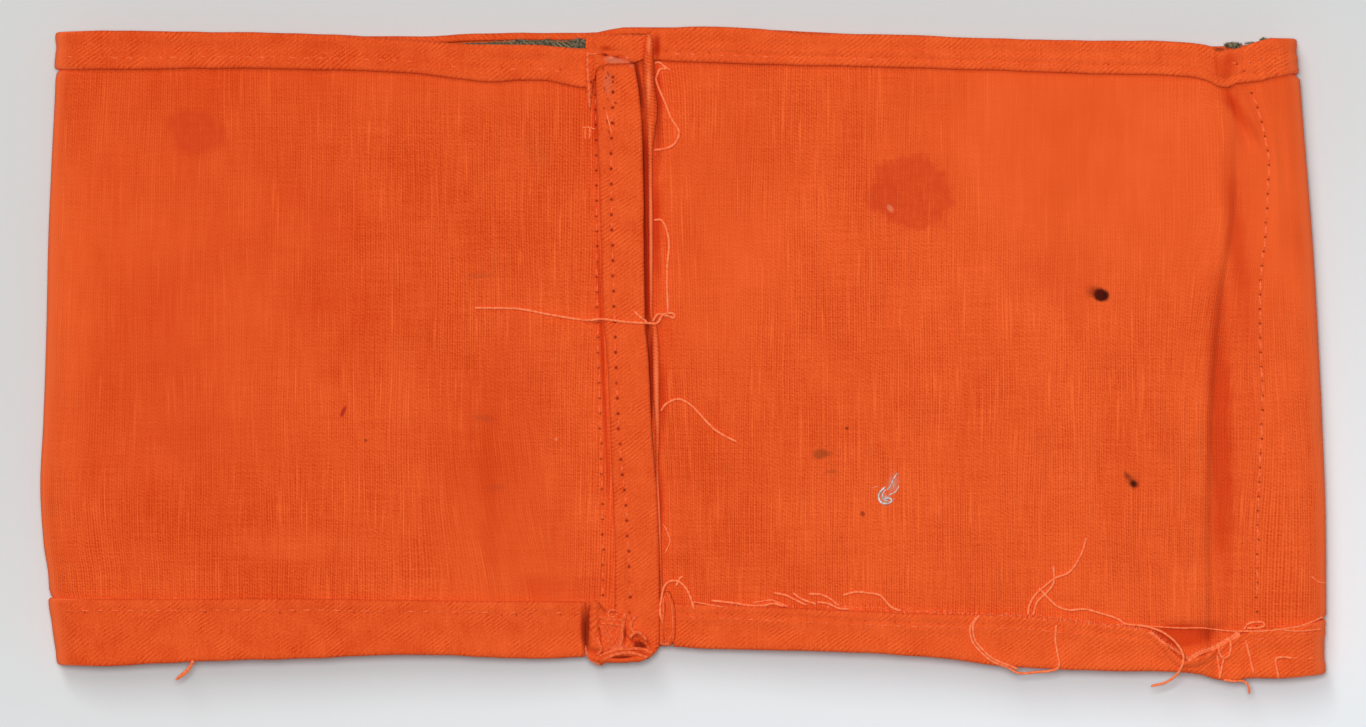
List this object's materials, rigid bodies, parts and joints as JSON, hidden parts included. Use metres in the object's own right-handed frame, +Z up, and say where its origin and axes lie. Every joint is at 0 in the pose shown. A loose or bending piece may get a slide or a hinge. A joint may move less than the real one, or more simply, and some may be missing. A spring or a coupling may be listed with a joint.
{
  "type": "cloth armband",
  "caption": "Orange cotton armband sewn into a loop, turned inside out and lying flat, with turned hems, a seam strip and an olive inner patch.",
  "frame": {"origin": "middle of the footprint, on the table that the armband lies on", "axes": "+X along the flattened band, towards the end with the stitched patch; +Y across the band, towards the edge whose mouth shows the patch; +Z up from the table"},
  "size_m": [0.203, 0.103, 0.0107],
  "materials": {
    "orange_plain": "matt wrong side of a cotton twill, fine slubs",
    "orange_twill": "matt right side of a cotton twill, diagonal wales",
    "olive_twill": "matt olive twill with a frayed edge"
  },
  "bodies": {
    "root": {"band_cloth": "orange_plain", "top_hem_left": "orange_twill", "top_hem_right": "orange_twill", "top_hem_back": "orange_twill", "bottom_hem_left": "orange_twill", "bottom_hem_right": "orange_twill", "bottom_hem_back": "orange_twill", "seam_strip": "orange_twill", "seam_roll": "orange_twill", "top_flap": "orange_twill", "seam_bunch": "orange_twill", "seam_tongue": "orange_plain", "inner_patch": "olive_twill"}
  },
  "joints": []
}
